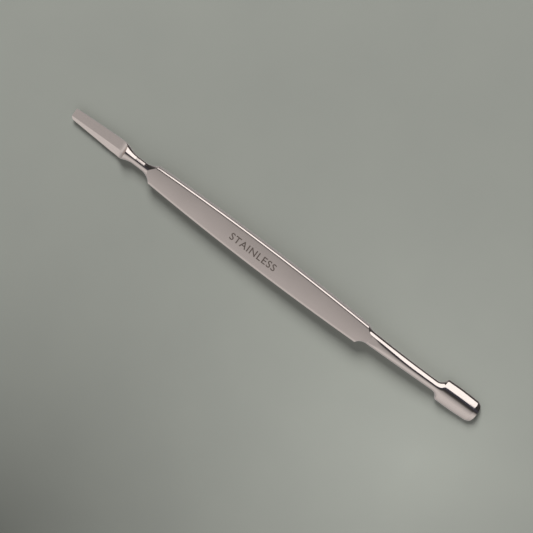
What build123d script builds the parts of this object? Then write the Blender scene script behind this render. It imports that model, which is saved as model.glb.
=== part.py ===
from build123d import *
from math import atan2, cos, degrees, radians, sin, sqrt, tan
import os

# Cuticle pusher: a flat steel handle with a scraper blade at the -X end and a curved pusher at the
# +X end. Everything is drawn in the handle's own frame: X along the handle, Z = 0 its mid plane,
# Y = 0 its middle line. The last step lays the tool down on its two lowest points.

# Driving dimensions, in millimetres and degrees
blade_tip_x = -65.0
blade_root_x = -50.2
left_seam_x = -40.6
right_seam_x = 31.1
shank_end_x = 52.0
pusher_length = 13.0
lie_angle = 0.86
rest_height = 2.395

# Handle: its half width swells towards the blade end of the middle
handle_thickness = 3.0
handle_edge_radius = 0.45
handle_plan = [(-44.0, 2.34), (-25.0, 3.15), (-8.0, 3.46), (10.0, 3.38), (34.0, 2.68)]
left_shoulder_radius = 4.5
left_shoulder_angle = 50.0
right_shoulder_radius = 3.1
right_shoulder_angle = 55.0

# Tangs of the two working ends, and their drilled sockets in the handle
tang_radius = 0.8
tang_length = 8.0
drill_point_angle = 59.0

# Scraper end: round neck, flare into the handle's shoulder and flare into the blade
neck_side = 0.1
neck_radius = 1.18
neck_start_x = -44.8
neck_end_x = -42.25
blade_flare_radius = 6.4
blade_flare_angle = 23.9

# Blade: ground flat above and below, with one long bevel along its -Y edge
blade_half_width_root = 2.28
blade_half_width_tip = 1.52
blade_top_z = 0.1
blade_root_thickness = 0.9
blade_tip_thickness = 0.5
top_run_out_x = -50.4
bottom_run_out_x = -49.2
run_out_radius = 2.5
bevel_width_tip = 0.75
bevel_width_root = 1.95
bevel_angle = 18.0
sharp_corner_radius = 0.35
blunt_corner_radius = 1.0

# Shank: it leaves the handle a little to one side and bends down in one long arc
shank_side = 0.35
shank_root_radius = 1.88
shank_middle_radius = 1.6
shank_end_radius = 1.43
shank_bend_radius = 197.5

# Pusher: an arched channel with a flat crown and flanks that turn down to upright rims
crown_radius = 4.3
crown_angle = 36.0
flank_radius = 1.9
flank_angle = 85.0
rim_depth = 2.364
wall = 0.6
end_bevel_length = 1.3
end_bevel_depth = 0.45
arch_start = 0.8
hollow_start = 1.8
hollow_start_inset = 1.6
hollow_full = 4.2

# Pusher in plan: square shoulders behind, nearly parallel sides and a slightly bowed end
pusher_half_width = 3.32
pusher_back_x = -2.0
pusher_back_half_width = 1.4
shoulder_start_x = 1.2
shoulder_end_x = 1.95
shoulder_half_width = 3.26
widest_x = 6.5
end_bow = 0.3
end_taper = 0.12
shoulder_root_fillet = 2.3
shoulder_corner_fillet = 0.5
end_corner_fillet = 1.0

# Worked out from the above; far is longer than any cross-section is wide
far = 8.0
half_thickness = handle_thickness / 2
blade_taper = (blade_half_width_root - blade_half_width_tip) / (blade_root_x - blade_tip_x)
crown_drop = crown_radius * (1 - cos(radians(crown_angle)))


def turned(profile, side):
    """The solid that an outline of (X, radius) lines sweeps out about the axis Y = side."""
    face = make_face(Plane.XZ * profile)
    return Pos(0, side, 0) * revolve(face, Axis.X)


def fillet_curve(start, radius, angle, direction):
    """Arc that leaves the axis direction at start, (X, radius), and climbs as it turns by angle."""
    points = [
        (
            start[0] + direction * radius * sin(radians(turn)),
            start[1] + radius * (1 - cos(radians(turn))),
        )
        for turn in (0, angle / 2, angle)
    ]
    return ThreePointArc(*points)


def shoulder_cutter(start, radius, angle, direction):
    """Ring that turns a shoulder: what lies outside a round bar flaring up into the slab."""
    arc = fillet_curve(start, radius, angle, direction)
    arc_end = arc @ 1
    crest_x = arc_end.X + direction * (far - arc_end.Y) / tan(radians(angle))
    outside_x = start[0] - direction * far
    lines = Polyline(arc_end, (crest_x, far), (outside_x, far), (outside_x, start[1]), start)
    return arc + lines


def socket(seam_x, side, direction):
    """Blind drilled hole for a tang, with the drill's point at its bottom."""
    mouth_x = seam_x - direction
    bottom_x = seam_x + direction * tang_length
    point_x = bottom_x + direction * tang_radius / tan(radians(drill_point_angle))
    outline = Polyline(
        (mouth_x, 0), (mouth_x, tang_radius), (bottom_x, tang_radius), (point_x, 0), close=True
    )
    return turned(outline, side)


def handle():
    """Flat tapered slab, edges eased, with a turned shoulder and a socket at each end."""
    upper = Spline(*handle_plan)
    lower = mirror(upper, Plane.XZ)
    ends = Line(upper @ 0, lower @ 0) + Line(upper @ 1, lower @ 1)
    slab = extrude(make_face(upper + lower + ends), half_thickness, both=True)
    seam_distance = right_seam_x - left_seam_x
    long_edges = slab.edges().filter_by(lambda edge: edge.length > seam_distance)
    slab = fillet(long_edges, handle_edge_radius)
    left_start = (neck_end_x, neck_radius)
    left_cutter = shoulder_cutter(left_start, left_shoulder_radius, left_shoulder_angle, 1)
    right_start = (right_seam_x, shank_root_radius)
    right_cutter = shoulder_cutter(right_start, right_shoulder_radius, right_shoulder_angle, -1)
    slab -= turned(left_cutter, neck_side)
    slab -= turned(right_cutter, shank_side)
    middle_x = (left_seam_x + right_seam_x) / 2
    slab &= Pos(middle_x, 0, 0) * Box(seam_distance, 2 * far, far)
    slab -= socket(left_seam_x, neck_side, 1)
    slab -= socket(right_seam_x, shank_side, -1)
    return slab


def tang(seam_x, side, direction):
    """Round pin that fills its socket up to the drill's point, rooted 1 mm inside its own end."""
    length = tang_length + 1
    middle_x = seam_x + direction * (tang_length - length / 2)
    return Pos(middle_x, side, 0) * Rot(0, 90, 0) * Cylinder(tang_radius, length)


def neck_and_flares():
    """Round neck that flares into the handle's shoulder and, the other way, into the blade's bar."""
    neck_end = (neck_end_x, neck_radius)
    neck_start = (neck_start_x, neck_radius)
    reach = left_seam_x - neck_end_x
    seam_rise = left_shoulder_radius - sqrt(left_shoulder_radius**2 - reach**2)
    seam_top = (left_seam_x, neck_radius + seam_rise)
    shoulder = RadiusArc(neck_end, seam_top, -left_shoulder_radius)
    hollow = fillet_curve(neck_start, blade_flare_radius, blade_flare_angle, -1)
    root = 2 * (hollow @ 1) - hollow @ 0
    swell = Pos(root) * Rot(0, 0, 180) * fillet_curve((0, 0), blade_flare_radius, blade_flare_angle, -1)
    outline = shoulder + Line(neck_end, neck_start) + hollow + swell
    outline += Polyline(
        root, (blade_tip_x - 1, root.Y), (blade_tip_x - 1, 0), (left_seam_x, 0), seam_top
    )
    return turned(outline, neck_side)


def blade_side_view():
    """Side view of the blade: flat ground top and underside, each ending in a concave run-out."""
    bottom_root_z = blade_top_z - blade_root_thickness
    top_run_out = fillet_curve((top_run_out_x, blade_top_z), run_out_radius, 90, 1)
    bottom_run_out = mirror(
        fillet_curve((bottom_run_out_x, -bottom_root_z), run_out_radius, 90, 1), Plane.XZ
    )
    front = Polyline(
        (top_run_out_x, blade_top_z),
        (blade_tip_x, blade_top_z),
        (blade_tip_x, blade_top_z - blade_tip_thickness),
        (bottom_run_out_x, bottom_root_z),
    )
    back = Polyline(
        top_run_out @ 1,
        (top_run_out_x + run_out_radius, far),
        (left_seam_x, far),
        (left_seam_x, -far),
        (bottom_run_out_x + run_out_radius, -far),
        bottom_run_out @ 1,
    )
    face = make_face(Plane.XZ * (top_run_out + bottom_run_out + front + back))
    return extrude(face, far, both=True)


def blade_plan():
    """Plan of the blade: it narrows to a nearly square tip with one blunt corner."""
    seam_half_width = blade_half_width_root + blade_taper * (left_seam_x - blade_root_x)
    outline = Polyline(
        (blade_tip_x, -blade_half_width_tip),
        (blade_tip_x, blade_half_width_tip),
        (left_seam_x, seam_half_width),
        (left_seam_x, -seam_half_width),
        close=True,
    )
    face = make_face(outline)
    sharp = face.vertices().sort_by_distance((blade_tip_x, blade_half_width_tip, 0))[0]
    face = fillet(sharp, sharp_corner_radius)
    blunt = face.vertices().sort_by_distance((blade_tip_x, -blade_half_width_tip, 0))[0]
    face = fillet(blunt, blunt_corner_radius)
    return Pos(0, neck_side, 0) * extrude(face, far, both=True)


def bevel_cutter():
    """Block whose underside is the ground bevel along the blade's -Y edge, run out at its root."""
    length = top_run_out_x - blade_tip_x
    tip_y = neck_side - blade_half_width_tip + bevel_width_tip
    root_y = neck_side - blade_half_width_tip - blade_taper * length + bevel_width_root
    block = Box(2 * length, far, far, align=(Align.MAX, Align.CENTER, Align.MIN))
    root_edge = block.edges().filter_by(Axis.Y).group_by(Axis.Z)[0].sort_by(Axis.X)[-1]
    block = fillet(root_edge, run_out_radius)
    line_rise = (root_y - tip_y) / length
    start = (top_run_out_x + run_out_radius, root_y + line_rise * run_out_radius, blade_top_z)
    place = Pos(*start) * Rot(0, 0, degrees(atan2(line_rise, 1)))
    return place * Rot(bevel_angle, 0, 0) * block


def scraper_end():
    """Tang, neck and blade in one piece."""
    body = neck_and_flares() & blade_side_view() & blade_plan()
    body -= bevel_cutter()
    return body + tang(left_seam_x, neck_side, 1)


def shank_point(x):
    """Point on the bent shank's centre line, and the angle by which the line points down there."""
    turn = degrees(atan2(x - right_seam_x, shank_bend_radius))
    drop = shank_bend_radius * (1 - cos(radians(turn)))
    return Vector(x, shank_side, -drop), turn


def shank():
    """Round shank that tapers along its bend, with the handle's flats running out along its root."""
    middle_x = (right_seam_x + shank_end_x) / 2
    stations = (right_seam_x, middle_x, shank_end_x)
    rings = []
    for x, radius in zip(stations, (shank_root_radius, shank_middle_radius, shank_end_radius)):
        centre, turn = shank_point(x)
        rings.append(Plane(centre) * Rot(0, 90 + turn, 0) * Circle(radius))
    under = [(x, shank_point(x)[0].Z - half_thickness) for x in stations]
    outside_x = shank_end_x + far
    over = Polyline(
        under[0],
        (right_seam_x, half_thickness),
        (outside_x, half_thickness),
        (outside_x, under[2][1]),
        under[2],
    )
    side_view = extrude(make_face(Plane.XZ * (ThreePointArc(*under) + over)), far, both=True)
    return loft(rings) & side_view


def arch_at(x, inset):
    """Section of the pusher at X = x of its own frame, inset from its skin, with long legs."""
    crown_x = crown_radius * sin(radians(crown_angle))
    centre_x = crown_x - flank_radius * sin(radians(crown_angle))
    centre_z = -crown_drop - flank_radius * cos(radians(crown_angle))
    crown = CenterArc((0, -crown_radius), crown_radius - inset, 90 - crown_angle, 2 * crown_angle)
    flank = CenterArc(
        (centre_x, centre_z), flank_radius - inset, 90 - flank_angle, flank_angle - crown_angle
    )
    foot = flank @ 0
    legs = Polyline(foot, (foot.X, -far), (-foot.X, -far), (-foot.X, foot.Y))
    face = make_face(crown + flank + mirror(flank, Plane.YZ) + legs)
    return Plane((x, 0, 0), x_dir=(0, 1, 0), z_dir=(1, 0, 0)) * face


def pusher_plan():
    """Plan of the pusher, as a tall block."""
    shoulder_start = (shoulder_start_x, pusher_back_half_width)
    shoulder_end = (shoulder_end_x, shoulder_half_width)
    widest = (widest_x, pusher_half_width)
    end_corner = (pusher_length - end_bow, pusher_half_width - end_taper)
    side = Polyline((pusher_back_x, pusher_back_half_width), shoulder_start, shoulder_end, widest, end_corner)
    bow = ThreePointArc(end_corner, (pusher_length, 0), (end_corner[0], -end_corner[1]))
    back = Line(side @ 0, (pusher_back_x, -pusher_back_half_width))
    face = make_face(side + mirror(side, Plane.XZ) + bow + back)
    for corner, radius in (
        (shoulder_start, shoulder_root_fillet),
        (shoulder_end, shoulder_corner_fillet),
        (end_corner, end_corner_fillet),
    ):
        for y in (corner[1], -corner[1]):
            vertex = face.vertices().sort_by_distance((corner[0], y, 0))[0]
            face = fillet(vertex, radius)
    return extrude(face, far, both=True)


def pusher():
    """Arched channel, hollow below, with a bevel ground round its end to a thin edge."""
    bevel_start = pusher_length - end_bevel_length
    body = extrude(arch_at(arch_start, 0), bevel_start - arch_start)
    body += loft([arch_at(bevel_start, 0), arch_at(pusher_length, end_bevel_depth)])
    body &= pusher_plan()
    above_rim = Box(4 * far, far, far, align=(Align.CENTER, Align.CENTER, Align.MIN))
    body &= Pos(0, 0, -rim_depth) * above_rim
    body -= loft([arch_at(hollow_start, hollow_start_inset), arch_at(hollow_full, wall)])
    return body - extrude(arch_at(hollow_full, wall), pusher_length)


def pusher_end():
    """Tang, shank and pusher in one piece; the shank's rounded end closes the hollow's back."""
    centre, turn = shank_point(shank_end_x)
    place = Pos(centre) * Rot(0, turn, 0)
    body = shank() + place * Pos(0, 0, shank_end_radius) * pusher()
    body += place * Rot(0, 90, 0) * Cylinder(shank_end_radius, 2 * arch_start)
    body += place * Pos(arch_start, 0, 0) * Sphere(shank_end_radius)
    return body + tang(right_seam_x, shank_side, -1)


# The tool lies on the crest between neck and blade and on the pusher's rim
lay_down = Pos(0, 0, rest_height) * Rot(0, -lie_angle, 0)
tool = {"handle": handle(), "scraper_end": scraper_end(), "pusher_end": pusher_end()}
os.makedirs("parts", exist_ok=True)
for name, part in tool.items():
    export_step(lay_down * part, f"parts/{name}.step")
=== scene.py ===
from math import atan2, cos, pi, radians, sin, sqrt, tan

import bpy
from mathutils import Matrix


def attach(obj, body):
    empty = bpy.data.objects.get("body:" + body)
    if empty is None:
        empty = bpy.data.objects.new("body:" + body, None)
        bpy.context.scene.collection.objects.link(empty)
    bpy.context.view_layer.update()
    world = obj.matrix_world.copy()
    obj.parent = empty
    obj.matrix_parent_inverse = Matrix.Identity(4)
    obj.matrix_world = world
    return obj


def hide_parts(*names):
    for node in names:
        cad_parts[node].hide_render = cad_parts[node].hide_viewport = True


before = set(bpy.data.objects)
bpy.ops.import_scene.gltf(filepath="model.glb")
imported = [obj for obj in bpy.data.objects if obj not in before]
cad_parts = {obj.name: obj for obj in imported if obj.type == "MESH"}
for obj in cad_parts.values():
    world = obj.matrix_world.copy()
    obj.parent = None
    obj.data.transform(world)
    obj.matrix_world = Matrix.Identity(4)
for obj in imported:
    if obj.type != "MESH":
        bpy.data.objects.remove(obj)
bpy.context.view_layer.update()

# --- Handle -----------------------------------------------------------------------------------
# A forged flat bar of stainless steel, ground to a long swelling taper and polished, so that its
# broad faces are very slightly pillowed and its long edges are eased. Both ends are turned down
# to a round shoulder on the lathe and drilled for the working ends.
MM = 0.001

# Every piece is drawn in the handle's own frame: X along the handle, Z = 0 its mid plane. It is
# then laid down with the rest of the tool, which lies on the crest between neck and blade and on
# the pusher's rim, so that the handle leans by a little under one degree.
LIE_ANGLE = radians(0.86)
REST_HEIGHT = 2.395 * MM
BODY = "root"


def linear(hex_colour):
    """A linear RGBA colour from an sRGB hex value."""
    values = [int(hex_colour[i : i + 2], 16) / 255 for i in (0, 2, 4)]
    return [v / 12.92 if v <= 0.04045 else ((v + 0.055) / 1.055) ** 2.4 for v in values] + [1.0]


def add_node(tree, kind, settings, links):
    """Adds a node to a tree: its settings by name or socket, and its links from other nodes."""
    node = tree.nodes.new(kind)
    for name, value in settings.items():
        if isinstance(name, str) and hasattr(node, name):
            setattr(node, name, value)
        else:
            node.inputs[name].default_value = value
    for socket, (source, output) in links.items():
        tree.links.new(source.outputs[output], node.inputs[socket])
    return node


def steel(name, colour, roughness, grain_turn, grain_width, grain_length, grain_depth):
    """Stainless steel with a directional finish; sizes in millimetres, turn in degrees."""
    material = bpy.data.materials.new(name)
    material.use_nodes = True
    tree = material.node_tree
    tree.nodes.clear()
    place = add_node(tree, "ShaderNodeTexCoord", {}, {})

    # The grain left by polishing: fine lines that spread a highlight across themselves. Real
    # lines are a few hundredths of a millimetre apart, and are drawn as coarse as can be seen.
    grain_place = add_node(
        tree,
        "ShaderNodeMapping",
        {
            "vector_type": "TEXTURE",
            "Rotation": (0, 0, radians(grain_turn)),
            "Scale": (grain_length * MM, grain_width * MM, grain_width * MM),
        },
        {"Vector": (place, "Object")},
    )
    grain_look = {"Scale": 1.0, "Detail": 4.0, "Roughness": 0.6}
    grain = add_node(tree, "ShaderNodeTexNoise", grain_look, {"Vector": (grain_place, 0)})

    # Hairline scratches from use, long, sparse and a little off the grain: they break the mirror.
    scratch_place = add_node(
        tree,
        "ShaderNodeMapping",
        {
            "vector_type": "TEXTURE",
            "Rotation": (0, 0, radians(grain_turn + 11)),
            "Scale": (7 * MM, 0.16 * MM, 0.16 * MM),
        },
        {"Vector": (place, "Object")},
    )
    scratch_look = {"Scale": 1.0, "Detail": 1.0}
    lines = add_node(tree, "ShaderNodeTexNoise", scratch_look, {"Vector": (scratch_place, 0)})
    scratch_range = {"From Min": 0.69, "From Max": 0.78, "To Min": 0.0, "To Max": 1.0}
    scratches = add_node(tree, "ShaderNodeMapRange", scratch_range, {"Value": (lines, 0)})

    # Edges are duller than faces, where hands and cloths have rubbed the polish away.
    surface = add_node(tree, "ShaderNodeNewGeometry", {}, {})
    edge_range = {"From Min": 0.51, "From Max": 0.56, "To Min": 0.0, "To Max": 0.05}
    worn = add_node(tree, "ShaderNodeMapRange", edge_range, {"Value": (surface, "Pointiness")})
    least, most = roughness * 0.75, roughness * 1.3
    dull_range = {"From Min": 0.3, "From Max": 0.7, "To Min": least, "To Max": most}
    dull = add_node(tree, "ShaderNodeMapRange", dull_range, {"Value": (grain, 0)})
    scratched = {"operation": "MULTIPLY_ADD", 1: 0.12}
    duller = add_node(tree, "ShaderNodeMath", scratched, {0: (scratches, 0), 2: (dull, 0)})
    dullest = add_node(tree, "ShaderNodeMath", {"operation": "ADD"}, {0: (duller, 0), 1: (worn, 0)})

    # Clouds about 9 mm across, where the polish has left the steel a shade darker or lighter.
    cloud_look = {"Scale": 1 / (9 * MM), "Detail": 3.0, "Roughness": 0.55}
    clouds = add_node(tree, "ShaderNodeTexNoise", cloud_look, {"Vector": (place, "Object")})
    light = linear(colour)
    dark = [channel * 0.88 for channel in light[:3]] + [1.0]
    tint = add_node(
        tree, "ShaderNodeMix", {"data_type": "RGBA", 6: dark, 7: light}, {0: (clouds, 0)}
    )

    # The grain stands up and the scratches cut in, both by less than a thousandth of a millimetre.
    relief = {"operation": "MULTIPLY_ADD", 1: -1.2}
    height = add_node(tree, "ShaderNodeMath", relief, {0: (scratches, 0), 2: (grain, 0)})
    depth = {"Strength": 1.0, "Distance": grain_depth * MM}
    bump = add_node(tree, "ShaderNodeBump", depth, {"Height": (height, 0)})
    shader = add_node(
        tree,
        "ShaderNodeBsdfPrincipled",
        {"Metallic": 1.0},
        {"Base Color": (tint, 2), "Roughness": (dullest, 0), "Normal": (bump, 0)},
    )
    add_node(tree, "ShaderNodeOutputMaterial", {}, {"Surface": (shader, 0)})
    return material


def leave_edit_mode():
    if bpy.context.mode != "OBJECT":
        bpy.ops.object.mode_set(mode="OBJECT")


def pick_points(piece, test):
    """In edit mode, selects the piece's points whose place passes the test."""
    bpy.ops.mesh.select_mode(type="VERT")
    bpy.ops.mesh.select_all(action="DESELECT")
    bpy.ops.object.mode_set(mode="OBJECT")
    for point in piece.data.vertices:
        point.select = test(point.co)
    bpy.ops.object.mode_set(mode="EDIT")


def pick_edges(piece, test):
    """In edit mode, selects the piece's edges whose two ends pass the test."""
    bpy.ops.mesh.select_mode(type="EDGE")
    bpy.ops.mesh.select_all(action="DESELECT")
    bpy.ops.object.mode_set(mode="OBJECT")
    for edge in piece.data.edges:
        edge.select = test(*(piece.data.vertices[i].co for i in edge.vertices))
    bpy.ops.object.mode_set(mode="EDIT")


def start_piece(name):
    """Names the primitive just added, and opens it for editing."""
    piece = bpy.context.object
    piece.name = name
    piece.data.name = name
    bpy.ops.object.transform_apply(location=True, rotation=True, scale=True)
    bpy.ops.object.mode_set(mode="EDIT")
    bpy.ops.mesh.select_mode(type="VERT")
    bpy.ops.mesh.select_all(action="SELECT")
    return piece


def turned(name, profile, side, steps):
    """A solid turned on a lathe about the line Y = side from a profile of (X, radius) points."""
    bpy.ops.object.select_all(action="DESELECT")
    bpy.ops.mesh.primitive_plane_add(size=MM, location=(0, 0, 0))
    piece = start_piece(name)
    bpy.ops.mesh.merge(type="CENTER")
    x, radius = profile[0]
    bpy.ops.transform.translate(value=(x * MM, side * MM, radius * MM))
    for next_x, next_radius in profile[1:]:
        step = ((next_x - x) * MM, 0, (next_radius - radius) * MM)
        bpy.ops.mesh.extrude_region_move(TRANSFORM_OT_translate={"value": step})
        x, radius = next_x, next_radius
    bpy.ops.mesh.select_all(action="SELECT")
    bpy.ops.mesh.spin(steps=steps, angle=2 * pi, center=(0, side * MM, 0), axis=(1, 0, 0))
    bpy.ops.mesh.select_all(action="SELECT")
    bpy.ops.mesh.remove_doubles(threshold=0.001 * MM)
    bpy.ops.mesh.normals_make_consistent(inside=False)
    bpy.ops.object.mode_set(mode="OBJECT")
    return piece


def cut(piece, tool, operation):
    """Cuts the piece with a tool body, or keeps only what they share, and throws the tool away."""
    bpy.ops.object.select_all(action="DESELECT")
    bpy.context.view_layer.objects.active = piece
    piece.select_set(True)
    boolean = piece.modifiers.new("cut", "BOOLEAN")
    boolean.object = tool
    boolean.operation = operation
    boolean.solver = "EXACT"
    bpy.ops.object.modifier_apply(modifier=boolean.name)
    bpy.data.objects.remove(tool)


def climbing_arc(x, radius, arc_radius, angle, direction, steps):
    """Profile points of an arc that leaves the axis direction and climbs as it turns."""
    turns = [radians(angle) * i / steps for i in range(steps + 1)]
    return [
        (x + direction * arc_radius * sin(turn), radius + arc_radius * (1 - cos(turn)))
        for turn in turns
    ]


def lay_down(piece):
    """Lays a finished piece on the surface with the whole tool, and hands it to the frame."""
    leave_edit_mode()
    bpy.ops.object.select_all(action="DESELECT")
    bpy.context.view_layer.objects.active = piece
    piece.select_set(True)
    piece.rotation_euler = (0, -LIE_ANGLE, 0)
    piece.location = (0, 0, REST_HEIGHT)
    bpy.ops.object.transform_apply(location=True, rotation=True, scale=True)
    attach(piece, BODY)


HANDLE_LEFT = -44.0
HANDLE_RIGHT = 34.0
HANDLE_THICKNESS = 3.0
HANDLE_EDGE = 0.55
HANDLE_PILLOW = 0.07
HANDLE_STATIONS = 78
LEFT_SEAM = -40.6
RIGHT_SEAM = 31.1
NECK_SIDE = 0.1
NECK_RADIUS = 1.18
NECK_END = -42.25
LEFT_SHOULDER = 4.5
SHANK_SIDE = 0.35
SHANK_ROOT_RADIUS = 1.88
RIGHT_SHOULDER = 3.1
TANG_RADIUS = 0.8
TANG_LENGTH = 8.0
DRILL_POINT = 59.0
LATHE_STEPS = 160
DRILL_STEPS = 48
SHOULDER_STEPS = 40
LEFT_SHOULDER_ANGLE = 50
RIGHT_SHOULDER_ANGLE = 55
CLEAR_RADIUS = 6


def handle_half_width(x):
    """Half the handle's width at X = x, on a smooth line through five measured places."""
    places = [(-44.0, 2.34), (-25.0, 3.15), (-8.0, 3.46), (10.0, 3.38), (34.0, 2.68)]
    total = 0.0
    for i, (place, half_width) in enumerate(places):
        share = half_width
        for j, (other, unused) in enumerate(places):
            if i != j:
                share *= (x - other) / (place - other)
        total += share
    return total


bpy.ops.object.select_all(action="DESELECT")
middle = (HANDLE_LEFT + HANDLE_RIGHT) / 2
length = HANDLE_RIGHT - HANDLE_LEFT
bpy.ops.mesh.primitive_cube_add(size=1, location=(middle * MM, 0, 0))
bpy.context.object.scale = (length * MM, 4 * MM, HANDLE_THICKNESS * MM)
handle = start_piece("steel_handle")
pick_edges(handle, lambda a, b: abs(a.x - b.x) > MM)
bpy.ops.mesh.bevel(offset=HANDLE_EDGE * MM, segments=10, affect="EDGES")
pick_edges(handle, lambda a, b: abs(a.x - b.x) > MM)
bpy.ops.mesh.subdivide(number_cuts=HANDLE_STATIONS - 1)
for i in range(HANDLE_STATIONS + 1):
    station = (HANDLE_LEFT + length * i / HANDLE_STATIONS) * MM
    for side in (1, -1):
        pick_points(handle, lambda place: abs(place.x - station) < 0.01 * MM and place.y * side > 0)
        step = handle_half_width(station / MM) - 2
        bpy.ops.transform.translate(value=(0, side * step * MM, 0))
pick_edges(handle, lambda a, b: abs(a.y - b.y) > MM)
bpy.ops.mesh.subdivide(number_cuts=15)
bpy.ops.object.mode_set(mode="OBJECT")
for point in handle.data.vertices:
    across = point.co.y / (handle_half_width(point.co.x / MM) * MM)
    point.co.z *= 1 - HANDLE_PILLOW / (HANDLE_THICKNESS / 2) * across**2

left_shoulder = (NECK_END, NECK_RADIUS, LEFT_SHOULDER, LEFT_SHOULDER_ANGLE, 1, SHOULDER_STEPS)
left_flare = climbing_arc(*left_shoulder)
left_flare = [point for point in left_flare if point[0] > LEFT_SEAM + 0.02]
seam_rise = LEFT_SHOULDER - sqrt(LEFT_SHOULDER**2 - (LEFT_SEAM - NECK_END) ** 2)
climb = CLEAR_RADIUS - left_flare[-1][1]
crest_x = left_flare[-1][0] + climb / tan(radians(LEFT_SHOULDER_ANGLE))
profile = [
    (LEFT_SEAM, 0),
    (LEFT_SEAM, NECK_RADIUS + seam_rise),
    *left_flare,
    (crest_x, CLEAR_RADIUS),
    (HANDLE_RIGHT + 6, CLEAR_RADIUS),
    (HANDLE_RIGHT + 6, 0),
]
cut(handle, turned("left_envelope", profile, NECK_SIDE, LATHE_STEPS), "INTERSECT")
right_flare = climbing_arc(
    RIGHT_SEAM, SHANK_ROOT_RADIUS, RIGHT_SHOULDER, RIGHT_SHOULDER_ANGLE, -1, SHOULDER_STEPS
)
climb = CLEAR_RADIUS - right_flare[-1][1]
crest_x = right_flare[-1][0] - climb / tan(radians(RIGHT_SHOULDER_ANGLE))
profile = [
    (RIGHT_SEAM, 0),
    *right_flare,
    (crest_x, CLEAR_RADIUS),
    (HANDLE_LEFT - 1, CLEAR_RADIUS),
    (HANDLE_LEFT - 1, 0),
]
cut(handle, turned("right_envelope", profile, SHANK_SIDE, LATHE_STEPS), "INTERSECT")
for seam, side, direction in ((LEFT_SEAM, NECK_SIDE, 1), (RIGHT_SEAM, SHANK_SIDE, -1)):
    bottom = seam + direction * TANG_LENGTH
    point_x = bottom + direction * TANG_RADIUS / tan(radians(DRILL_POINT))
    start = seam - direction
    profile = [(start, 0), (start, TANG_RADIUS), (bottom, TANG_RADIUS), (point_x, 0)]
    cut(handle, turned("drill", profile, side, DRILL_STEPS), "DIFFERENCE")
bpy.ops.object.shade_smooth_by_angle(angle=radians(22))
handle.data.materials.clear()

# Stainless steel polished along its length on a belt: a warm grey satin face, drawn out lengthwise.
polished = steel("polished_stainless_steel", "D3C7C1", 0.13, 0, 0.07, 9.0, 0.0004)
handle.data.materials.append(polished)
lay_down(handle)
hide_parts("handle")

# --- Scraper end ------------------------------------------------------------------------------
# One steel forging: a tang in the handle's socket, a round neck that flares at both ends, and a
# blade ground flat above and below by a wheel, whose round edge leaves the concave run-outs. One
# long bevel is ground along the blade's lower edge.
NECK_START = -44.8
BLADE_TIP = -65.0
BLADE_ROOT = -50.2
BLADE_FLARE = 6.4
BLADE_FLARE_ANGLE = 23.9
BLADE_HALF_ROOT = 2.28
BLADE_HALF_TIP = 1.52
BLADE_TOP = 0.1
BLADE_ROOT_THICKNESS = 0.9
BLADE_TIP_THICKNESS = 0.5
TOP_RUN_OUT = -50.4
UNDER_RUN_OUT = -49.14
WHEEL_RADIUS = 2.5
BEVEL_WIDTH_TIP = 0.75
BEVEL_WIDTH_ROOT = 1.95
BEVEL_ANGLE = 18.0
SHARP_CORNER = 0.35
BLUNT_CORNER = 1.0
FAR = 8.0

tang_end = LEFT_SEAM + TANG_LENGTH
shoulder = climbing_arc(*left_shoulder)
shoulder = [point for point in shoulder if point[0] < LEFT_SEAM - 0.02]
hollow = climbing_arc(NECK_START, NECK_RADIUS, BLADE_FLARE, BLADE_FLARE_ANGLE, -1, 24)
turn_x, turn_radius = hollow[-1]
swell = [(2 * turn_x - x, 2 * turn_radius - radius) for x, radius in reversed(hollow[:-1])]
profile = [
    (tang_end, 0),
    (tang_end, TANG_RADIUS),
    (LEFT_SEAM, TANG_RADIUS),
    (LEFT_SEAM, NECK_RADIUS + seam_rise),
    *reversed(shoulder),
    *hollow,
    *swell,
    (BLADE_TIP - 1, swell[-1][1]),
    (BLADE_TIP - 1, 0),
]
scraper = turned("steel_scraper_end", profile, NECK_SIDE, LATHE_STEPS)

taper = (BLADE_HALF_ROOT - BLADE_HALF_TIP) / (BLADE_ROOT - BLADE_TIP)
plan_end = tang_end + 1
bpy.ops.object.select_all(action="DESELECT")
middle = (BLADE_TIP + plan_end) / 2
bpy.ops.mesh.primitive_cube_add(size=1, location=(middle * MM, NECK_SIDE * MM, 0))
bpy.context.object.scale = ((plan_end - BLADE_TIP) * MM, 2 * BLADE_HALF_TIP * MM, FAR * MM)
template = start_piece("blade_template")
pick_points(template, lambda place: place.x > -40 * MM)
wide = (BLADE_HALF_TIP + taper * (plan_end - BLADE_TIP)) / BLADE_HALF_TIP
bpy.ops.transform.resize(value=(1, wide, 1))
for y_sign, corner in ((1, SHARP_CORNER), (-1, BLUNT_CORNER)):
    pick_points(template, lambda place: place.x < (BLADE_TIP + 0.01) * MM and place.y * y_sign > MM)
    bpy.ops.mesh.bevel(offset=corner * MM, segments=12, affect="EDGES")
bpy.ops.object.mode_set(mode="OBJECT")
cut(scraper, template, "INTERSECT")


def wheel_cut(name, turn, place):
    """A grinding wheel's sweep along the blade: a block with a round edge at the blade's root."""
    sweep = place[0] - BLADE_TIP + 2
    bpy.ops.object.select_all(action="DESELECT")
    bpy.ops.mesh.primitive_cube_add(size=FAR * MM, location=(-sweep / 2 * MM, 0, FAR / 2 * MM))
    bpy.context.object.scale = (sweep / FAR, 2, 1)
    block = start_piece(name)
    pick_points(block, lambda point: point.x > -MM and point.z < MM)
    bpy.ops.mesh.bevel(offset=WHEEL_RADIUS * MM, segments=32, affect="EDGES")
    bpy.ops.object.mode_set(mode="OBJECT")
    block.rotation_euler = turn
    block.location = [measure * MM for measure in place]
    return block


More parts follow.
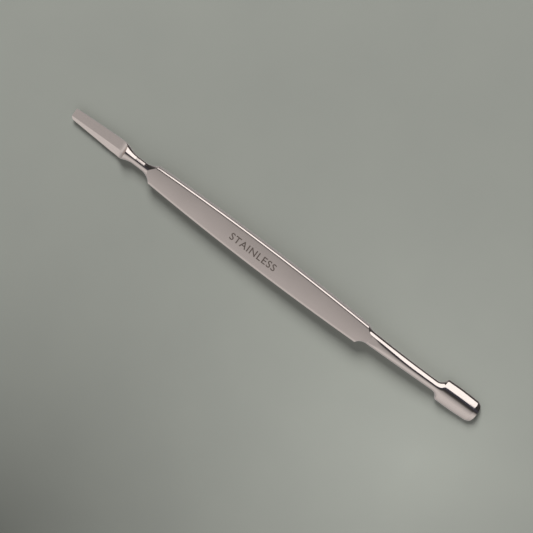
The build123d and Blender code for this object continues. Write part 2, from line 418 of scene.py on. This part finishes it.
reach = TOP_RUN_OUT + WHEEL_RADIUS
cut(scraper, wheel_cut("top_wheel", (0, 0, 0), (reach, 0, BLADE_TOP)), "DIFFERENCE")
thinning = atan2(BLADE_ROOT_THICKNESS - BLADE_TIP_THICKNESS, UNDER_RUN_OUT - BLADE_TIP)
reach = UNDER_RUN_OUT + WHEEL_RADIUS
under_z = BLADE_TOP - BLADE_ROOT_THICKNESS - WHEEL_RADIUS * sin(thinning)
cut(scraper, wheel_cut("under_wheel", (pi, thinning, 0), (reach, 0, under_z)), "DIFFERENCE")
tip_edge = NECK_SIDE - BLADE_HALF_TIP
root_edge = tip_edge - taper * (TOP_RUN_OUT - BLADE_TIP)
bevel_line = (root_edge + BEVEL_WIDTH_ROOT) - (tip_edge + BEVEL_WIDTH_TIP)
bevel_turn = atan2(bevel_line, TOP_RUN_OUT - BLADE_TIP)
bevel_y = root_edge + BEVEL_WIDTH_ROOT + WHEEL_RADIUS * tan(bevel_turn)
bevel_place = (TOP_RUN_OUT + WHEEL_RADIUS, bevel_y, BLADE_TOP)
bevel_wheel = wheel_cut("bevel_wheel", (radians(BEVEL_ANGLE), 0, bevel_turn), bevel_place)
cut(scraper, bevel_wheel, "DIFFERENCE")
bpy.ops.object.shade_smooth_by_angle(angle=radians(11))
scraper.data.materials.clear()

# Stainless steel ground across by a fine wheel and buffed: the grain runs across the blade.
ground = steel("ground_stainless_steel", "D3C7C1", 0.12, 90, 0.09, 2.0, 0.0006)
scraper.data.materials.append(ground)
lay_down(scraper)
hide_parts("scraper_end")

# --- Pusher end -------------------------------------------------------------------------------
# One steel forging: a tang in the handle's socket, a round shank that tapers and bends down, and
# the pusher, an arched channel pressed out of the shank's end. Its end is ground to a thin edge.
SHANK_END = 52.0
SHANK_MIDDLE_RADIUS = 1.6
SHANK_END_RADIUS = 1.43
SHANK_BEND = 197.5
PUSHER_LENGTH = 12.99
CROWN_RADIUS = 4.3
CROWN_ANGLE = 36.0
FLANK_RADIUS = 1.9
FLANK_ANGLE = 85.0
RIM_DEPTH = 2.35
WALL = 0.6
HOLLOW_START = 1.4
HOLLOW_START_INSET = 1.6
HOLLOW_FULL = 4.2
END_BEVEL = 1.3
END_BEVEL_DEPTH = 0.45
PUSHER_HALF = 3.32
SHOULDER_START = 1.2
SHOULDER_END = 1.95
SHOULDER_HALF = 3.26
SHOULDER_ROOT_FILLET = 2.3
SHOULDER_CORNER_FILLET = 0.7
WIDEST = 6.5
END_BOW = 0.3
END_TAPER = 0.12
END_CORNER_FILLET = 1.0
SKIN_SIDES = 72
RIM_SIDES = 6
HOLLOW_SIDES = 56


def arch_point(along, inset):
    """Place on the pusher's arch: along runs from -1 at the +Y rim over the crown to 1."""
    crown_turn, flank_turn = radians(CROWN_ANGLE), radians(FLANK_ANGLE)
    crown_length = CROWN_RADIUS * crown_turn
    flank_length = FLANK_RADIUS * (flank_turn - crown_turn)
    crown_drop = CROWN_RADIUS * (1 - cos(crown_turn))
    foot_z = -crown_drop - FLANK_RADIUS * (cos(crown_turn) - cos(flank_turn))
    leg = RIM_DEPTH + foot_z
    run = abs(along) * (crown_length + flank_length + leg)
    if run < crown_length:
        turn = run / CROWN_RADIUS
        y, z = CROWN_RADIUS * sin(turn), CROWN_RADIUS * (cos(turn) - 1)
    else:
        turn = min(crown_turn + (run - crown_length) / FLANK_RADIUS, flank_turn)
        y = CROWN_RADIUS * sin(crown_turn) + FLANK_RADIUS * (sin(turn) - sin(crown_turn))
        z = -crown_drop - FLANK_RADIUS * (cos(crown_turn) - cos(turn))
    y -= inset * sin(turn)
    z -= inset * cos(turn)
    if run > crown_length + flank_length:
        z -= (run - crown_length - flank_length) * (RIM_DEPTH + z) / leg
    return (-y if along > 0 else y), max(z, -RIM_DEPTH)


def section_point(number, inset, wall):
    """A point of the section: over the arch's skin, round a rim, under its hollow, round a rim."""
    if number <= SKIN_SIDES:
        return arch_point(2 * number / SKIN_SIDES - 1, inset)
    number -= SKIN_SIDES
    if number < RIM_SIDES:
        outer, inner, share = arch_point(1, inset), arch_point(1, wall), number / RIM_SIDES
        return tuple(outer[k] + (inner[k] - outer[k]) * share for k in (0, 1))
    number -= RIM_SIDES
    if number <= HOLLOW_SIDES:
        return arch_point(1 - 2 * number / HOLLOW_SIDES, wall)
    number -= HOLLOW_SIDES
    outer, inner, share = arch_point(-1, inset), arch_point(-1, wall), number / RIM_SIDES
    return tuple(inner[k] + (outer[k] - inner[k]) * share for k in (0, 1))


def round_point(number, radius):
    """The same point on the round bar, whose top is at Z = 0."""
    skin_end, hollow_start = 200, 212
    if number <= SKIN_SIDES:
        turn = -20 + 220 * number / SKIN_SIDES
    elif number <= SKIN_SIDES + RIM_SIDES:
        turn = skin_end + (hollow_start - skin_end) * (number - SKIN_SIDES) / RIM_SIDES
    elif number <= SKIN_SIDES + RIM_SIDES + HOLLOW_SIDES:
        hollow_share = (number - SKIN_SIDES - RIM_SIDES) / HOLLOW_SIDES
        turn = hollow_start + (540 - 2 * hollow_start) * hollow_share
    else:
        turn = 328 + 12 * (number - SKIN_SIDES - RIM_SIDES - HOLLOW_SIDES) / RIM_SIDES
    return radius * cos(radians(turn)), radius * (sin(radians(turn)) - 1)


def gentle(share):
    """A share from 0 to 1 that starts and ends gently."""
    share = min(max(share, 0.0), 1.0)
    return share * share * (3 - 2 * share)


def soft_min(a, b, softness):
    """The lesser of two heights, with the corner between them rounded off."""
    near = max(softness - abs(a - b), 0) / softness
    return min(a, b) - near * near * softness / 4


def shank_place(x):
    """How far the bent centre line has dropped at X = x, and its downward angle there."""
    turn = atan2(x - RIGHT_SEAM, SHANK_BEND)
    return SHANK_BEND * (1 - cos(turn)), turn


def shank_radius(x):
    """The shank's radius, on a smooth line through its root, middle and end."""
    share = (x - RIGHT_SEAM) / (SHANK_END - RIGHT_SEAM)
    root = SHANK_ROOT_RADIUS * (1 - share) * (1 - 2 * share)
    end = SHANK_END_RADIUS * share * (2 * share - 1)
    return root + 4 * SHANK_MIDDLE_RADIUS * share * (1 - share) + end


def pusher_half_width(x):
    """Half the pusher's width at x along it: bar, filleted shoulder, then nearly parallel sides."""
    slope = atan2(SHOULDER_HALF - SHANK_END_RADIUS, SHOULDER_END - SHOULDER_START)
    side_slope = atan2(PUSHER_HALF - SHOULDER_HALF, WIDEST - SHOULDER_END)
    root_length = SHOULDER_ROOT_FILLET * tan(slope / 2)
    root_start = SHOULDER_START - root_length
    root_end = SHOULDER_START + root_length * cos(slope)
    corner_length = SHOULDER_CORNER_FILLET * tan((slope - side_slope) / 2)
    corner_start = SHOULDER_END - corner_length * cos(slope)
    corner_end = SHOULDER_END + corner_length * cos(side_slope)
    if x < root_start:
        return SHANK_END_RADIUS
    if x < root_end:
        rise = sqrt(SHOULDER_ROOT_FILLET**2 - (x - root_start) ** 2)
        return SHANK_END_RADIUS + SHOULDER_ROOT_FILLET - rise
    if x < corner_start:
        return SHANK_END_RADIUS + (x - SHOULDER_START) * tan(slope)
    if x < corner_end:
        centre_x = corner_end + SHOULDER_CORNER_FILLET * sin(side_slope)
        corner_y = SHOULDER_HALF + corner_length * sin(side_slope)
        centre_y = corner_y - SHOULDER_CORNER_FILLET * cos(side_slope)
        return centre_y + sqrt(SHOULDER_CORNER_FILLET**2 - (x - centre_x) ** 2)
    if x < WIDEST:
        return SHOULDER_HALF + (x - SHOULDER_END) * tan(side_slope)
    return PUSHER_HALF - END_TAPER * (x - WIDEST) / (PUSHER_LENGTH - END_BOW - WIDEST)


def pusher_end_x(y):
    """How far the pusher's bowed end reaches at a distance y from its middle line."""
    corner_y = PUSHER_HALF - END_TAPER
    bow_radius = (corner_y**2 + END_BOW**2) / (2 * END_BOW)
    fillet_y = corner_y + 0.05 - END_CORNER_FILLET
    bow = PUSHER_LENGTH - bow_radius + sqrt(bow_radius**2 - min(y, fillet_y) ** 2)
    if y < fillet_y:
        return bow
    return bow - END_CORNER_FILLET + sqrt(max(END_CORNER_FILLET**2 - (y - fillet_y) ** 2, 0.0))


sides = SKIN_SIDES + 2 * RIM_SIDES + HOLLOW_SIDES
flare_start, flare_end, end_start = -0.5, 2.5, 10.4
stations = [("tang", RIGHT_SEAM - TANG_LENGTH), ("tang", RIGHT_SEAM)]
shank_length = SHANK_END + flare_start - RIGHT_SEAM
stations += [("shank", RIGHT_SEAM + shank_length * i / 69) for i in range(70)]
stations += [("pusher", flare_start + (flare_end - flare_start) * (i + 1) / 56) for i in range(56)]
stations += [("pusher", flare_end + (end_start - flare_end) * (i + 1) / 16) for i in range(16)]
stations += [("pusher", end_start + (PUSHER_LENGTH - end_start) * (i + 1) / 30) for i in range(30)]


def forged_place(station, number):
    """Where a point of the bar goes once the bar is drawn out, bent and pressed."""
    part, x = station
    if part == "tang":
        y, z = round_point(number, TANG_RADIUS)
        return x, y, z + TANG_RADIUS
    if part == "shank":
        drop, turn = shank_place(x)
        radius = shank_radius(x)
        y, z = round_point(number, radius)
        softness = 0.03 + 0.4 * gentle((x - RIGHT_SEAM) / 4)
        z = soft_min(z + radius - drop, HANDLE_THICKNESS / 2, softness)
        return x, y, -soft_min(-z, drop + HANDLE_THICKNESS / 2, softness)
    drop, turn = shank_place(SHANK_END)
    half_width = pusher_half_width(x)
    arch_foot = arch_point(-1, 0)[0]
    mix = min((half_width - SHANK_END_RADIUS) / (arch_foot - SHANK_END_RADIUS), 1.0)
    hollow = gentle((x - HOLLOW_START) / (HOLLOW_FULL - HOLLOW_START))
    wall = HOLLOW_START_INSET + (WALL - HOLLOW_START_INSET) * hollow
    y, z = section_point(number, 0, wall)
    if x > end_start:
        reach = pusher_end_x(min(abs(y), half_width))
        x = end_start + (x - end_start) * (reach - end_start) / (PUSHER_LENGTH - end_start)
    inset = END_BEVEL_DEPTH * max(0.0, (x - PUSHER_LENGTH + END_BEVEL) / END_BEVEL)
    y, z = section_point(number, inset, wall)
    if x > WIDEST:
        y *= half_width / PUSHER_HALF
    bar_y, bar_z = round_point(number, SHANK_END_RADIUS)
    y, z = bar_y + (y - bar_y) * mix, bar_z + (z - bar_z) * mix
    z += SHANK_END_RADIUS
    return SHANK_END + x * cos(turn) + z * sin(turn), y, -drop - x * sin(turn) + z * cos(turn)


bpy.ops.object.select_all(action="DESELECT")
bpy.ops.mesh.primitive_cylinder_add(vertices=sides, radius=MM, depth=MM, end_fill_type="NGON")
pusher = start_piece("steel_pusher_end")
pick_edges(pusher, lambda a, b: abs(a.z - b.z) > 0.5 * MM)
bpy.ops.mesh.subdivide(number_cuts=len(stations) - 2)
bpy.ops.object.mode_set(mode="OBJECT")
for point in pusher.data.vertices:
    ring = round((point.co.z / MM + 0.5) * (len(stations) - 1))
    number = round(atan2(point.co.y, point.co.x) / (2 * pi) * sides) % sides
    x, y, z = forged_place(stations[ring], number)
    point.co = (x * MM, (y + SHANK_SIDE) * MM, z * MM)
bpy.ops.object.mode_set(mode="EDIT")
bpy.ops.mesh.select_all(action="SELECT")
bpy.ops.mesh.normals_make_consistent(inside=False)
bpy.ops.object.mode_set(mode="OBJECT")
bpy.ops.object.shade_smooth_by_angle(angle=radians(25))
pusher.data.materials.clear()

# Stainless steel forged, then buffed bright all round: the nearest thing to a mirror on the tool.
buffed = steel("buffed_stainless_steel", "D3C7C1", 0.1, 0, 0.1, 5.0, 0.0006)
pusher.data.materials.append(buffed)
lay_down(pusher)
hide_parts("pusher_end")

# --- Laser mark -------------------------------------------------------------------------------
# The steel's name, burnt into the handle's upper face by a laser: the dark oxide stands a few
# thousandths of a millimetre proud. The letters are plain capitals, generic to any steel tool.
MARK_CAP = 1.95
MARK_LENGTH = 14.4
MARK_MIDDLE = -6.3
MARK_SIDE = 0.0
MARK_PROUD = 0.006
MARK_DEPTH = 0.04

bpy.ops.object.select_all(action="DESELECT")
bpy.ops.object.text_add(location=(0, 0, 0))
mark = bpy.context.object
mark.data.body = "STAINLESS"
mark.data.align_x = "CENTER"
mark.data.size = 1.0
mark.data.space_character = 1.12
mark.data.resolution_u = 6
mark.data.extrude = 0.5
mark.data.offset = 0.01
bpy.ops.object.convert(target="MESH")
mark.name = "laser_mark"
mark.data.name = "laser_mark"
low = [min(point.co[k] for point in mark.data.vertices) for k in range(3)]
high = [max(point.co[k] for point in mark.data.vertices) for k in range(3)]
for point in mark.data.vertices:
    along_mark = (point.co.x - (low[0] + high[0]) / 2) / (high[0] - low[0]) * MARK_LENGTH
    across_mark = (point.co.y - (low[1] + high[1]) / 2) / (high[1] - low[1]) * MARK_CAP
    x, y = MARK_MIDDLE + along_mark, MARK_SIDE + across_mark
    z = HANDLE_THICKNESS / 2 + (MARK_PROUD if point.co.z > 0 else -MARK_DEPTH)
    point.co = (x * MM, y * MM, z * MM)
bpy.ops.object.mode_set(mode="EDIT")
bpy.ops.mesh.select_all(action="SELECT")
bpy.ops.mesh.remove_doubles(threshold=0.001 * MM)
bpy.ops.mesh.normals_make_consistent(inside=False)
bpy.ops.object.mode_set(mode="OBJECT")
mark.data.materials.clear()

# Steel darkened by the laser to a matt brown-grey oxide, speckled where the dots of it overlap.
oxide = bpy.data.materials.new("laser_annealed_steel")
oxide.use_nodes = True
tree = oxide.node_tree
tree.nodes.clear()
place = add_node(tree, "ShaderNodeTexCoord", {}, {})
dots = {"Scale": 1 / (0.15 * MM), "Detail": 3.0}
speckle = add_node(tree, "ShaderNodeTexNoise", dots, {"Vector": (place, "Object")})
browns = {"data_type": "RGBA", 6: linear("463D38"), 7: linear("605650")}
tint = add_node(tree, "ShaderNodeMix", browns, {0: (speckle, 0)})
matt = {"Metallic": 0.3, "Roughness": 0.55}
shader = add_node(tree, "ShaderNodeBsdfPrincipled", matt, {"Base Color": (tint, 2)})
add_node(tree, "ShaderNodeOutputMaterial", {}, {"Surface": (shader, 0)})
mark.data.materials.append(oxide)
lay_down(mark)

# --- Studio -----------------------------------------------------------------------------------
# A plain sheet of matte sage paper, a soft key lamp at the back left that throws the shadow, a
# white card close behind the tool that lights its polished edges, and a dim room all round.
from mathutils import Matrix, Vector

bpy.ops.object.select_all(action="DESELECT")
bpy.ops.mesh.primitive_plane_add(size=6, location=(0, 0, 0))
floor = bpy.context.object
floor.name = "studio_floor"

# Matte sage paper with a faint cloudy tone, with a painted pool of light under the pusher and
# painted shade falling away at the left.
paper = bpy.data.materials.new("matte_paper")
paper.use_nodes = True
tree = paper.node_tree
tree.nodes.clear()
place = add_node(tree, "ShaderNodeTexCoord", {}, {})
cloudy = {"Scale": 1 / (25 * MM), "Detail": 4.0}
fibre = add_node(tree, "ShaderNodeTexNoise", cloudy, {"Vector": (place, "Object")})
sages = {"data_type": "RGBA", 6: linear("80827C"), 7: linear("868881")}
tint = add_node(tree, "ShaderNodeMix", sages, {0: (fibre, 0)})


def spot(centre, radius):
    """A round mask for painted light or shade: fades from 1 at a spot on the paper to 0 at its
    radius, both in millimetres.
    """
    scale = 1 / (radius * MM)
    shift = [-measure / radius for measure in centre] + [0]
    where = {"Location": shift, "Scale": (scale, scale, scale)}
    mapping = add_node(tree, "ShaderNodeMapping", where, {"Vector": (place, "Object")})
    fade = {"gradient_type": "QUADRATIC_SPHERE"}
    return add_node(tree, "ShaderNodeTexGradient", fade, {0: (mapping, 0)})


# Painted light and shade: the paper's colour is raised in a pool near the pusher and lowered
# towards the left, in place of uneven lamp light.
painted_pool_settings = {"operation": "MULTIPLY_ADD", 1: 0.45, 2: 1.02}
painted_light_pool = add_node(tree, "ShaderNodeMath", painted_pool_settings, {0: (spot((60, -20), 110), 1)})
painted_falloff_settings = {"operation": "MULTIPLY_ADD", 1: -0.58, 2: 1.0}
painted_shade_falloff = add_node(tree, "ShaderNodeMath", painted_falloff_settings, {0: (spot((-20, -120), 110), 1)})
painted_light_factor = add_node(tree, "ShaderNodeMath", {"operation": "MULTIPLY"}, {0: (painted_light_pool, 0), 1: (painted_shade_falloff, 0)})
paper_with_painted_light = add_node(
    tree, "ShaderNodeVectorMath", {"operation": "SCALE"}, {0: (tint, 2), "Scale": (painted_light_factor, 0)}
)
matt = {"Roughness": 0.9, "Specular IOR Level": 0.0}
shader = add_node(tree, "ShaderNodeBsdfPrincipled", matt, {"Base Color": (paper_with_painted_light, 0)})
add_node(tree, "ShaderNodeOutputMaterial", {}, {"Surface": (shader, 0)})
floor.data.materials.append(paper)
floor.visible_glossy = False

world = bpy.data.worlds.new("dim_studio")
bpy.context.scene.world = world
world.use_nodes = True
tree = world.node_tree
tree.nodes.clear()
place = add_node(tree, "ShaderNodeTexCoord", {}, {})
parts = add_node(tree, "ShaderNodeSeparateXYZ", {}, {0: (place, "Generated")})
angle = add_node(tree, "ShaderNodeMath", {"operation": "ARCTAN2"}, {0: (parts, 1), 1: (parts, 2)})
turn_share = {"operation": "MULTIPLY_ADD", 1: 1 / (2 * pi), 2: 0.5}
share = add_node(tree, "ShaderNodeMath", turn_share, {0: (angle, 0)})
ramp = add_node(tree, "ShaderNodeValToRGB", {}, {0: (share, 0)})

# The room's brightness by the angle from straight up toward +Y, and whether it is bluish there.
AROUND = [
    (-180, 0.45, 0), (-150, 0.45, 0), (-120, 0.5, 0), (-90, 0.7, 0), (-65, 0.84, 0),
    (-40, 0.86, 0), (-30, 0.76, 0), (-21, 0.64, 0), (-15, 0.54, 0), (-8, 0.42, 0),
    (-1, 0.12, 0), (8, 0.05, 0), (19, 0.06, 1), (30, 0.08, 1), (40, 0.05, 0),
    (112, 0.06, 0), (146, 0.12, 0), (158, 0.4, 0), (179, 0.45, 0),
]
while len(ramp.color_ramp.elements) < len(AROUND):
    ramp.color_ramp.elements.new(0.5)
for element, (turn, brightness, blue) in zip(ramp.color_ramp.elements, AROUND):
    element.position = turn / 360 + 0.5
    tints = (1.0, 1.05, 1.4) if blue else (1.0, 1.0, 1.0)
    element.color = [brightness * tint for tint in tints] + [1.0]
studio = add_node(tree, "ShaderNodeBackground", {}, {"Color": (ramp, 0)})
plain = add_node(tree, "ShaderNodeBackground", {"Color": linear("B6B8B2")}, {})
path = add_node(tree, "ShaderNodeLightPath", {}, {})
seen = add_node(
    tree, "ShaderNodeMixShader", {}, {0: (path, "Is Camera Ray"), 1: (studio, 0), 2: (plain, 0)}
)
add_node(tree, "ShaderNodeOutputWorld", {}, {"Surface": (seen, 0)})

KEY_PLACE = Vector((-0.48, 0.651, 0.588)) * 1.4
KEY_SIZE = 0.7
KEY_RADIANCE = 25
bpy.ops.object.light_add(type="AREA", location=KEY_PLACE)
key = bpy.context.object
key.name = "key_lamp"
key.data.shape = "DISK"
key.data.size = KEY_SIZE
key.data.energy = KEY_RADIANCE * pi * pi * (KEY_SIZE / 2) ** 2
key.rotation_euler = KEY_PLACE.to_track_quat("Z", "Y").to_euler()
key.visible_camera = False
key.visible_glossy = False

CARD_TURN = radians(68)
CARD_DISTANCE = 110 * MM
CARD_MIDDLE = 25 * MM
CARD_SIZE = (170 * MM, 166 * MM)
CARD_RADIANCE = 1.68
toward = Vector((0, sin(CARD_TURN), cos(CARD_TURN)))
bpy.ops.object.light_add(type="AREA")
card = bpy.context.object
card.name = "white_card"
card.data.shape = "RECTANGLE"
card.data.size, card.data.size_y = CARD_SIZE
card.data.energy = CARD_RADIANCE * pi * CARD_SIZE[0] * CARD_SIZE[1]
card_up = toward.cross(Vector((1, 0, 0)))
middle = toward * CARD_DISTANCE + Vector((CARD_MIDDLE, 0, 3 * MM))
card.matrix_world = Matrix((
    (1, card_up.x, toward.x, middle.x),
    (0, card_up.y, toward.y, middle.y),
    (0, card_up.z, toward.z, middle.z),
    (0, 0, 0, 1),
))
card.visible_camera = False
card.visible_diffuse = False

# --- Camera -----------------------------------------------------------------------------------
# A short telephoto, almost overhead, tipped a little toward the +Y side and turned so that the
# tool runs down to the right across the frame.
TILT = radians(16)
TURN = radians(37.05)
LENS = 100
SENSOR = 36
VIEW_WIDTH = 137.5 * MM
across = Vector((0, cos(TILT), -sin(TILT)))
back = Vector((0, sin(TILT), cos(TILT)))
along = Vector((1, 0, 0))
right = along * cos(TURN) + across * sin(TURN)
up = across * cos(TURN) - along * sin(TURN)
aim = Vector((0, 0, REST_HEIGHT)) - along * 1.32 * MM - across * 1.26 * MM
eye = aim + back * VIEW_WIDTH * LENS / SENSOR
bpy.ops.object.camera_add()
camera = bpy.context.object
camera.data.lens = LENS
camera.data.sensor_width = SENSOR
camera.data.clip_start = 0.01
camera.matrix_world = Matrix((
    (right.x, up.x, back.x, eye.x),
    (right.y, up.y, back.y, eye.y),
    (right.z, up.z, back.z, eye.z),
    (0, 0, 0, 1),
))
bpy.context.scene.camera = camera
bpy.context.scene.view_settings.view_transform = "Standard"
